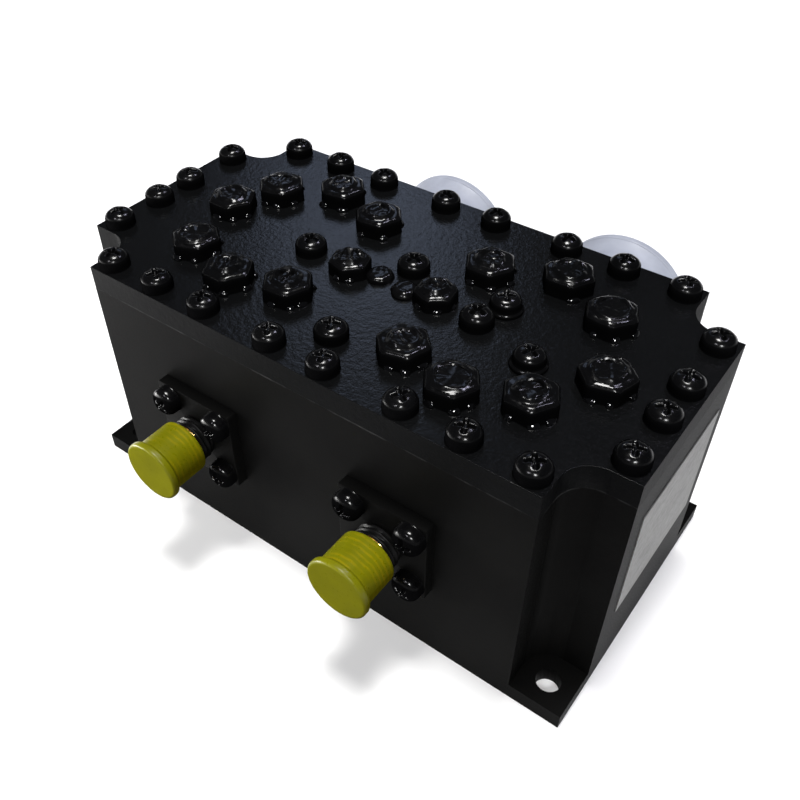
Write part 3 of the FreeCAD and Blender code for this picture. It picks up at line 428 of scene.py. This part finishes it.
rng = random.Random(20)
edge_spots = [(sx * x, sy * 18.3) for x in (4.0, 14.6, 22.6, 30.6) for sx in (-1, 1) for sy in (-1, 1)]
edge_spots += [(sx * 37.6, y) for y in (11.0, 2.2, -3.8, -11.1) for sx in (-1, 1)]
v, f = [], []
for k, (x, y) in enumerate(edge_spots):
    pan_head(v, f, up_from(x, y), 2.0, 2.2 + rng.uniform(-0.08, 0.08), k, rng.uniform(0, 3.14), 0.45)
o = make("cover_screw_heads", v, f, lacquer, "filter")
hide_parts("cover_screws")

v, f = [], []
for k, (x, y, high, washer) in enumerate(((-12.2, -0.9, 2.1, 0), (1.2, 3.2, 2.1, 0), (1.1, -13.2, 2.1, 0),
                                          (13.4, -1.4, 2.3, 0), (22.0, -4.2, 1.7, 2.22), (14.7, 3.0, 1.7, 2.18))):
    pan_head(v, f, up_from(x, y), 1.92 if washer else 2.1, high, 60 + k, rng.uniform(0, 3.14), 0.35, washer=washer)
o = make("inner_screw_heads", v, f, lacquer, "filter")
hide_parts("inner_cover_screws", "inner_screw_washers")


# ------------------------------------------------------ lock nuts and screw ends
def hexed(af, th, rot, soft):
    a = (math.degrees(th) - rot) % 60.0 - 30.0
    flat = af / 2 / math.cos(math.radians(a))
    corner = af / 2 / math.cos(math.radians(30.0)) * (1.0 - soft)
    k = 18.0
    return -math.log(math.exp(-k * flat) + math.exp(-k * corner)) / k


pool_verts, pool_faces = [], []


def nut(verts, faces, place, af, high, stand, bore, rot, seed, ring, ring_high, slot, turn, drip, count=96):
    rnd = random.Random(seed * 13 + 5)
    af2 = af / 2
    foot = 0.01 + 0.02 * rnd.random()
    prof = [(0.0, -0.3), (af2 * 0.85, -0.3)]
    marks = ["in", "in"]
    for out, z in ((foot, -0.03), (foot, 0.04), (foot * 0.6, 0.2), (foot * 0.3, 0.4), (0.0, 0.6), (0.0, 0.85),
                   (0.0, 1.2), (0.0, high - 0.72), (-0.04, high - 0.50), (-0.12, high - 0.30)):
        prof.append((af2 + out, z))
        marks.append("hex")
    for shrink, z in ((0.24, high - 0.16), (0.42, high - 0.05), (0.62, high + 0.02)):
        prof.append((shrink, z))
        marks.append("top")
    screw = bore + 0.02
    for r, z in ((ring + 0.62, high + 0.0), (ring + 0.42, high + ring_high * 0.25), (ring + 0.24, high + ring_high * 0.72),
                 (ring + 0.08, high + ring_high * 0.98), (ring - 0.08, high + ring_high * 0.96),
                 (ring - 0.22, high + ring_high * 0.62)):
        prof.append((r, z))
        marks.append("ring")
    floor = high + min(stand - high, ring_high) * 0.45
    for r in (ring - 0.36, ring - 0.55, ring - 0.8, ring * 0.38, ring * 0.2, 0.0):
        prof.append((max(r, 0.0), floor))
        marks.append("end")
    ca, sa = math.cos(turn), math.sin(turn)

    def shape(i, r, z, th):
        kind = marks[i]
        x0, y0 = af2 * math.cos(th), af2 * math.sin(th)
        n = lumps((x0, y0, z * 0.6), 0.55, seed)
        if kind == "in":
            return r, z
        if kind == "hex":
            h = hexed(af, th, rot, 0.035)
            swell = 0.16 * drip * max(0.0, lumps((x0, y0, 0.0), 0.5, seed + 40.0)) * (1 - soft_step(z, 0.1, 1.0))
            return h + (r - af2) * (1 + 0.5 * n) + swell + 0.05 * n, z
        if kind == "top":
            h = min(hexed(af, th, rot, 0.035), af2 * 1.075)
            return h - r, z + 0.06 * lumps((h * math.cos(th), h * math.sin(th), 0.0), 0.9, seed + 11.0)
        m = lumps((r * math.cos(th), r * math.sin(th), 0.0), 0.9, seed + 11.0)
        if kind == "ring":
            w = 1 + 0.9 * lumps((math.cos(th) * 1.2, math.sin(th) * 1.2, 0.0), 1.0, seed + 3.0)
            e = 0.30 * lumps((math.cos(th) * 0.9, math.sin(th) * 0.9, 0.0), 1.0, seed + 23.0)
            return r + 0.07 * m + e, high + (z - high) * w + 0.06 * m
        x, y = r * math.cos(th), r * math.sin(th)
        across = abs(-x * sa + y * ca)
        q = lumps((x, y, 0.0), 1.3, seed + 17.0)
        return r, z - slot * (1 - soft_step(across, 0.14, 0.42)) + 0.10 * q
    turned(verts, faces, place, prof, count, shape, math.radians(rot))
    # pools of lacquer that ran down and set at the foot
    for k, turn_by in enumerate((0.0, 46.0, -46.0, 120.0, 190.0)):
        th = math.radians(-54.0 + turn_by + rnd.uniform(-13.0, 13.0))
        if k and rnd.random() < 0.3:
            continue
        wide, tall, thick = (q * af / 6.5 for q in (rnd.uniform(0.50, 0.90), rnd.uniform(0.50, 0.75), rnd.uniform(0.22, 0.32)))
        lean = math.radians(rnd.uniform(40.0, 48.0))
        out = hexed(af, th, rot, 0.035) + 0.02
        pool(pool_verts, pool_faces, place, out * math.cos(th), out * math.sin(th), 0.16 + 0.25 * thick, th, lean, wide, tall, thick, seed + k)


def pool(verts, faces, place, x, y, z, th, lean, wide, tall, thick, seed, rings=10, count=24):
    """Flattened bead that leans against the foot of a nut."""
    nx, ny, nz = math.cos(th) * math.cos(lean), math.sin(th) * math.cos(lean), math.sin(lean)
    tx, ty = -math.sin(th), math.cos(th)
    ux, uy, uz = -math.cos(th) * math.sin(lean), -math.sin(th) * math.sin(lean), math.cos(lean)
    start = len(verts)
    verts.append(place(x + nx * thick, y + ny * thick, z + nz * thick))
    for i in range(1, rings):
        a = math.pi * i / rings
        for k in range(count):
            b = 2 * math.pi * k / count
            w = 1 + 0.14 * lumps((math.cos(b), math.sin(b), 0.0), 0.9, seed + 5.0)
            s, t, n = wide * math.sin(a) * math.cos(b) * w, tall * math.sin(a) * math.sin(b) * w, thick * math.cos(a)
            verts.append(place(x + tx * s + ux * t + nx * n, y + ty * s + uy * t + ny * n, z + uz * t + nz * n))
    verts.append(place(x - nx * thick, y - ny * thick, z - nz * thick))
    last = len(verts) - 1
    for k in range(count):
        a, b = start + 1 + k, start + 1 + (k + 1) % count
        faces.append((start, a, b))
        for i in range(rings - 2):
            faces.append((a + i * count, a + (i + 1) * count, b + (i + 1) * count, b + i * count))
        faces.append((a + (rings - 2) * count, last, b + (rings - 2) * count))


TUNE = {
    "g": (-8.5, 8.8, 9.0), "b": (-24.4, 7.3, 14.0), "d": (-24.6, -9.3, 20.0), "f": (-8.35, -9.9, 6.4),
    "j": (9.4, 8.0, 0.0), "n": (26.0, 7.6, -5.0), "p": (25.5, -10.0, -2.0), "k": (9.8, -11.0, 14.0),
    "c": (-16.9, 11.7, 12.0), "a": (-27.6, 0.7, 0.0), "e": (-16.3, -12.0, 0.0),
    "m": (18.4, 11.6, 2.0), "o": (30.5, -2.5, 15.0), "l": (17.6, -13.1, 4.0),
}
#        ring radius, ring height, slot depth, drip
LOOKS = {
    "g": (1.55, 0.42, 0.05, 0.5), "b": (1.75, 0.30, 0.10, 0.4), "d": (1.90, 0.35, 0.12, 0.5), "f": (1.45, 0.50, 0.30, 0.3),
    "j": (1.50, 0.45, 0.12, 0.5), "n": (2.05, 0.26, 0.05, 0.5), "p": (1.60, 0.45, 0.08, 0.5), "k": (1.50, 0.45, 0.16, 0.6),
    "c": (1.50, 0.40, 0.14, 0.4), "a": (1.65, 0.42, 0.10, 0.7), "e": (1.55, 0.45, 0.22, 0.3),
    "m": (1.75, 0.40, 0.08, 0.7), "o": (1.85, 0.30, 0.06, 0.7), "l": (2.05, 0.24, 0.04, 0.6),
}
v, f = [], []
for k, name in enumerate(sorted(TUNE)):
    x, y, rot = TUNE[name]
    ring, ring_high, slot, drip = LOOKS[name]
    nut(v, f, up_from(x, y), 6.0, 2.3, 2.75, 1.45, rot, k + 1, ring, ring_high, slot, rng.uniform(0, 3.14), drip)
o = make("lacquered_lock_nuts", v, f, lacquer, "filter", sharp=32)
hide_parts("lock_nuts", "resonator_tuning_screws", "coupling_tuning_screws")
v, f = [], []
for k, (x, y, rot) in enumerate(((-5.3, -1.5, 45.7), (7.0, -0.5, 39.1))):
    nut(v, f, up_from(x, y), 5.0, 2.0, 2.6, 1.25, rot, 31 + k, 1.3, 0.5, 0.2, rng.uniform(0, 3.14), 0.5)
o = make("lacquered_small_nuts", v, f, lacquer, "filter", sharp=32)
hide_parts("small_lock_nuts", "cross_coupling_screws")
make("lacquer_pools", pool_verts, pool_faces, wet_lacquer, "filter")

v, f = [], []
for k, (x, y) in enumerate(((-1.4, -0.4), (2.95, -1.15))):
    seed = 80 + k

    def rough_top(i, r, z, th, seed=seed):
        x0, y0 = r * math.cos(th), r * math.sin(th)
        n = lumps((x0, y0, z), 1.1, seed)
        if i < 2:
            return r, z
        dent = 0.10 * (1 - soft_step(r, 0.4, 0.8))
        return r * (1 + 0.06 * n), z + 0.14 * n - dent
    turned(v, f, up_from(x, y), [(0, -0.25), (1.3, -0.25), (1.86, -0.02), (1.80, 0.1), (1.74, 0.35), (1.60, 0.56), (1.35, 0.72), (1.1, 0.78),
                                 (0.8, 0.80), (0.55, 0.80), (0.3, 0.80), (0, 0.80)], 48, rough_top)
o = make("lacquered_set_screws", v, f, lacquer, "filter")
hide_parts("set_screws")


# ------------------------------------------------------------------------ jacks
def black_neck(o, axis, limit):
    """The painted neck of a barrel, next to its flange."""
    o.data.materials.append(neck_paint)
    for p in o.data.polygons:
        if abs(p.center[axis]) < limit * MM:
            p.material_index = 1


def threaded(verts, faces, place, r_out, depth, pitch, z0, z1, bore, mouth, mouth_deep, core_z, count=72, neck=0.0):
    """Barrel with a real helical thread, open bore and countersunk mouth."""
    steps = 6
    rows = int((z1 - z0) / pitch * steps)
    prof = [(bore, core_z), (bore, z1 - mouth_deep), (mouth, z1 - mouth_deep), (mouth, z1 - 0.12), (mouth + 0.12, z1)]
    tail = [(r_out - depth - 0.08, z1), (r_out - depth, z1 - 0.12)]
    body = [(r_out, z1 - 0.14 - (z1 - z0 - 0.3) * k / rows) for k in range(rows + 1)]
    end = [(r_out - depth, z0 + 0.02), (r_out - depth, z0 - 0.2)]
    loop = prof + tail + body + end
    first = len(prof) + len(tail)
    last = first + len(body)
    start = len(verts)
    n = len(loop)
    for i, (r, z) in enumerate(loop):
        for k in range(count):
            th = 2 * math.pi * k / count
            rr = r
            if first <= i < last:
                t = (z / pitch - th / (2 * math.pi)) % 1.0
                tri = 1 - abs(2 * t - 1)
                ease = soft_step(z1 - z, 0.1, 0.9) * soft_step(z - z0, 0.0, 0.5)
                rr = r - depth * (1 - min(1.0, tri * 1.25) * ease)
            verts.append(place(rr * math.cos(th), rr * math.sin(th), z))
    probe = [Vector(place(1, 0, 0)) - Vector(place(0, 0, 0)), Vector(place(0, 1, 0)) - Vector(place(0, 0, 0)),
             Vector(place(0, 0, 1)) - Vector(place(0, 0, 0))]
    flipped = probe[0].cross(probe[1]).dot(probe[2]) < 0
    for i in range(n):
        j = (i + 1) % n
        for k in range(count):
            m = (k + 1) % count
            q = (start + i * count + k, start + i * count + m, start + j * count + m, start + j * count + k)
            faces.append(tuple(reversed(q)) if not flipped else q)


def flange(verts, faces, place, side, thick, edge=0.12, corner=0.35):
    """Square flange plate, its edges and corners slightly softened."""
    h = side / 2
    rings = []
    for inset, z in ((0.0, -0.02), (0.0, thick - edge), (edge * 0.12, thick - edge * 0.62), (edge * 0.38, thick - edge * 0.29),
                     (edge * 0.62, thick - edge * 0.12), (edge, thick)):
        ring = []
        for quarter in range(4):
            mid = math.pi / 4 + quarter * math.pi / 2
            cx = (h - corner) * math.copysign(1.0, math.cos(mid))
            cy = (h - corner) * math.copysign(1.0, math.sin(mid))
            for k in range(5):
                th = quarter * math.pi / 2 + k / 4 * math.pi / 2
                ring.append(len(verts))
                verts.append(place(cx + (corner - inset) * math.cos(th), cy + (corner - inset) * math.sin(th), z))
        rings.append(ring)
    probe = [Vector(place(1, 0, 0)) - Vector(place(0, 0, 0)), Vector(place(0, 1, 0)) - Vector(place(0, 0, 0)),
             Vector(place(0, 0, 1)) - Vector(place(0, 0, 0))]
    flipped = probe[0].cross(probe[1]).dot(probe[2]) < 0

    def face(q):
        faces.append(tuple(reversed(q)) if flipped else tuple(q))
    n = len(rings[0])
    face(tuple(reversed(rings[0])))
    for low, high in zip(rings, rings[1:]):
        for i in range(n):
            j = (i + 1) % n
            face((low[i], low[j], high[j], high[i]))
    face(tuple(rings[-1]))


FRONT = {"front_left": -15.5, "front_right": 14.8}
REAR = {"rear_left": -15.1, "rear_right": 15.8}
for name, x in FRONT.items():
    place = out_front(x, JACK_Z)
    v, f = [], []
    flange(v, f, place, 12.7, 1.6)
    a = make(name + "_flange", v, f, paint_body, "filter", sharp=40)
    v, f = [], []
    threaded(v, f, place, 3.125, 0.33, 0.7056, 1.6, 9.4, 2.05, 2.3, 2.0, 0.2)
    b = make(name + "_thread", v, f, gold, "filter", sharp=50)
    black_neck(b, 1, HALF_D + 3.62)
    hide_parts(name + "_jack_shell")
for name, x in REAR.items():
    place = out_rear(x, JACK_Z)
    v, f = [], []
    flange(v, f, place, 25.4, 2.5, 0.2, 0.6)
    a = make(name + "_flange", v, f, paint_body, "filter", sharp=40)
    v, f = [], []
    threaded(v, f, place, 7.95, 0.5, 1.058, 2.5, 17.4, 4.2, 6.0, 6.0, 0.2, 96)
    b = make(name + "_thread", v, f, gold, "filter", sharp=50)
    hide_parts(name + "_jack_shell")

v, f = [], []
k = 0
for x in FRONT.values():
    for sx in (-1, 1):
        for sz in (-1, 1):
            pan_head(v, f, out_front(x + sx * 4.32, JACK_Z + sz * 4.32, -HALF_D - 1.6), 2.0, 2.1, 100 + k,
                     rng.uniform(0, 3.14), 0.1)
            k += 1
o = make("front_flange_screw_heads", v, f, lacquer, "filter")
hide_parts("front_flange_screws")
v, f = [], []
for x in REAR.values():
    for sx in (-1, 1):
        for sz in (-1, 1):
            pan_head(v, f, out_rear(x + sx * 9.1, JACK_Z + sz * 9.1, HALF_D + 2.5), 2.75, 2.0, 120 + k,
                     rng.uniform(0, 3.14), 0.1)
            k += 1
o = make("rear_flange_screw_heads", v, f, lacquer, "filter")
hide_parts("rear_flange_screws")


# -------------------------------------------------------------------- dust caps
def dust_cap(name, place, start, end, tube, bore, web, rim, rim_thick, rim_round, material, count=96, flare=0.0):
    v, f = [], []
    q = rim_round
    prof = [(0.0, end - web), (bore - 0.5, end - web), (bore - 0.15, end - web - 0.05), (bore, end - web - 0.25),
            (bore, start + 0.25), (bore + 0.10, start + 0.04), (bore + 0.22, start), (tube - 0.12, start),
            (tube - 0.03, start + 0.06), (tube, start + 0.2)]
    if flare:
        for s in range(0, 9):
            t = s / 8
            prof.append((tube + (rim - q * 0.5 - tube) * t ** 1.6, end - rim_thick - flare * (1 - t)))
    else:
        prof += [(tube, end - rim_thick - 0.22), (tube + 0.05, end - rim_thick - 0.06), (tube + 0.18, end - rim_thick),
                 (rim - q, end - rim_thick)]
    for s in range(1, 6):
        a = s / 6 * math.pi / 2
        prof.append((rim - q + q * math.sin(a), end - rim_thick + q - q * math.cos(a)))
    prof.append((rim, end - rim_thick + q))
    prof.append((rim, end - q))
    for s in range(1, 6):
        a = s / 6 * math.pi / 2
        prof.append((rim - q + q * math.cos(a), end - q + q * math.sin(a)))
    prof += [(rim - q, end), (rim - 0.9 * q - 0.3, end), (rim * 0.6, end - 0.02), (rim * 0.3, end - 0.03), (0.0, end - 0.03)]
    turned(v, f, place, prof, count)
    o = make(name, v, f, material, name.replace("_look", ""), sharp=50)
    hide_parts(name.replace("_look", ""))
    return o


for side, x in FRONT.items():
    dust_cap(side + "_cap_look", out_front(x, JACK_Z), 4.1, 10.25, 3.76, 3.25, 0.6, 4.28, 1.1, 0.35, yellow)
for side, x in REAR.items():
    dust_cap(side + "_cap_look", out_rear(x, JACK_Z), 6.0, 19.2, 9.4, 8.1, 1.3, 10.2, 1.2, 0.3, white_plastic, 128, 2.4)


# -------------------------------------------------------------- carried-over CAD
def dress(node, material, bevel=0.0):
    o = nodes[node]
    o.data.materials.clear()
    o.data.materials.append(material)
    if bevel:
        w = o.modifiers.new("weld", "WELD")
        w.merge_threshold = 0.000002
        d = o.modifiers.new("planar", "DECIMATE")
        d.decimate_type = "DISSOLVE"
        d.angle_limit = math.radians(1.0)
        b = o.modifiers.new("edges", "BEVEL")
        b.width = bevel * MM
        b.segments = 2
        b.limit_method = "ANGLE"
        b.angle_limit = math.radians(50)
        b.harden_normals = True


dress("housing", paint_body, 0.12)
dress("cover_plate", paint_cover, 0.10)
dress("label", label_look)
dress("resonator_posts", brass)
dress("post_screws", steel)
dress("tap_wires", copper)
for side in ("front_left", "front_right", "rear_left", "rear_right"):
    dress(side + "_insulator", ptfe)
    dress(side + "_contact", gold)


# ------------------------------------------------------------- floor and lights
def floor_material():
    m, nt, b = new_material("pale_floor")
    co = object_coord(nt)
    cloud = noise_tex(nt, co, 3.0, 3.0)
    nt.links.new(two_tone(nt, cloud.outputs["Fac"], (0.90, 0.90, 0.90), (0.93, 0.93, 0.93)), b.inputs["Base Color"])
    b.inputs["Roughness"].default_value = 0.9
    b.inputs["Specular IOR Level"].default_value = 0.1
    # far from the lamps the sheet takes the tone of the backdrop, so no dark band shows at its end
    far = nt.nodes.new("ShaderNodeVectorMath")
    far.operation = "LENGTH"
    nt.links.new(co, far.inputs[0])
    b.inputs["Emission Color"].default_value = (0.38, 0.39, 0.40, 1.0)
    nt.links.new(span(nt, far.outputs["Value"], 0.0, 1.0, 0.5, 1.5), b.inputs["Emission Strength"])
    return m


fm = bpy.data.meshes.new("floor")
s = 6.0
fm.from_pydata([(-s, -s, 0), (s, -s, 0), (s, s, 0), (-s, s, 0)], [], [(0, 1, 2, 3)])
floor = bpy.data.objects.new("floor", fm)
scene.collection.objects.link(floor)
fm.materials.append(floor_material())


def softbox(name, at, look, sx, sy, watts, colour=(1, 1, 1), spread=180.0):
    d = bpy.data.lights.new(name, "AREA")
    d.shape = "RECTANGLE"
    d.size, d.size_y = sx, sy
    d.energy = watts
    d.color = colour
    d.spread = math.radians(spread)
    o = bpy.data.objects.new(name, d)
    scene.collection.objects.link(o)
    o.location = at
    o.rotation_mode = "QUATERNION"
    o.rotation_quaternion = (Vector(look) - Vector(at)).to_track_quat("-Z", "Y")
    return o


def around(azimuth, elevation, distance, base=(0.0, 0.0, 0.037)):
    a, e = math.radians(azimuth), math.radians(elevation)
    return (base[0] + distance * math.cos(e) * math.cos(a), base[1] + distance * math.cos(e) * math.sin(a),
            base[2] + distance * math.sin(e))


# window light low behind on the left: the slate sheen on the cover
softbox("window", around(128.0, 31.0, 1.0), (0, 0, 0.037), 0.24, 0.18, 0.20, (0.60, 0.72, 1.0))
softbox("window_upper", around(128.0, 40.0, 1.0), (0, 0, 0.037), 0.24, 0.12, 0.035, (0.66, 0.78, 1.0))
# overhead softbox: lights the floor and the upper faces
softbox("overhead", around(128.0, 88.0, 1.15), (0, 0, 0), 0.26, 0.26, 12.0, (1.0, 0.99, 0.975))
# small bright lamps: the pin-point glints in the lacquer
softbox("lamp_a", around(-50.0, 46.0, 1.0), (0, 0, 0.037), 0.17, 0.17, 5.2, (1.0, 1.0, 1.0))
softbox("lamp_b", around(-95.0, 52.0, 1.0), (0, 0, 0.037), 0.10, 0.12, 1.2, (0.95, 0.93, 1.0))
softbox("lamp_c", around(75.0, 60.0, 1.0), (0, 0, 0.037), 0.11, 0.11, 1.4, (0.80, 0.78, 1.0))
# low fill near the left end
softbox("fill", (-0.115, -0.085, 0.019), (-0.03, -0.02, 0.019), 0.09, 0.028, 0.24, (1.0, 0.99, 0.97))

world = bpy.data.worlds.new("studio")
scene.world = world
world.use_nodes = True
wn = world.node_tree
bg = wn.nodes["Background"]
tc = wn.nodes.new("ShaderNodeTexCoord")
sep = wn.nodes.new("ShaderNodeSeparateXYZ")
wn.links.new(tc.outputs["Generated"], sep.inputs["Vector"])
ramp = wn.nodes.new("ShaderNodeValToRGB")
ramp.color_ramp.elements[0].position = 0.04
ramp.color_ramp.elements[0].color = (0.40, 0.41, 0.42, 1)
ramp.color_ramp.elements[1].position = 0.22
ramp.color_ramp.elements[1].color = (0.030, 0.032, 0.037, 1)
wn.links.new(sep.outputs["Z"], ramp.inputs["Fac"])
wn.links.new(ramp.outputs["Color"], bg.inputs["Color"])
bg.inputs["Strength"].default_value = 1.0

# ----------------------------------------------------------------------- camera
cam_data = bpy.data.cameras.new("camera")
cam = bpy.data.objects.new("camera", cam_data)
scene.collection.objects.link(cam)
cam_data.sensor_width = 36.0
cam_data.sensor_fit = "HORIZONTAL"
cam_data.lens = 39.99
cam_data.shift_x = 0.0441
cam_data.shift_y = 0.0194
cam_data.clip_start = 0.005
cam_data.clip_end = 50.0
right = Vector((0.7938, 0.6079, -0.0180))
down = Vector((0.4107, -0.5576, -0.7214))
ahead = Vector((-0.4486, 0.5652, -0.6923))
right.normalize()
ahead = (ahead - right * ahead.dot(right)).normalized()
down = ahead.cross(right)
cam.matrix_world = Matrix(((right.x, -down.x, -ahead.x, 0.05417),
                           (right.y, -down.y, -ahead.y, -0.07423),
                           (right.z, -down.z, -ahead.z, 0.10181),
                           (0, 0, 0, 1)))
scene.camera = cam
scene.view_settings.view_transform = "Standard"
scene.view_settings.look = "None"
scene.view_settings.exposure = 0.0

bpy.context.view_layer.update()
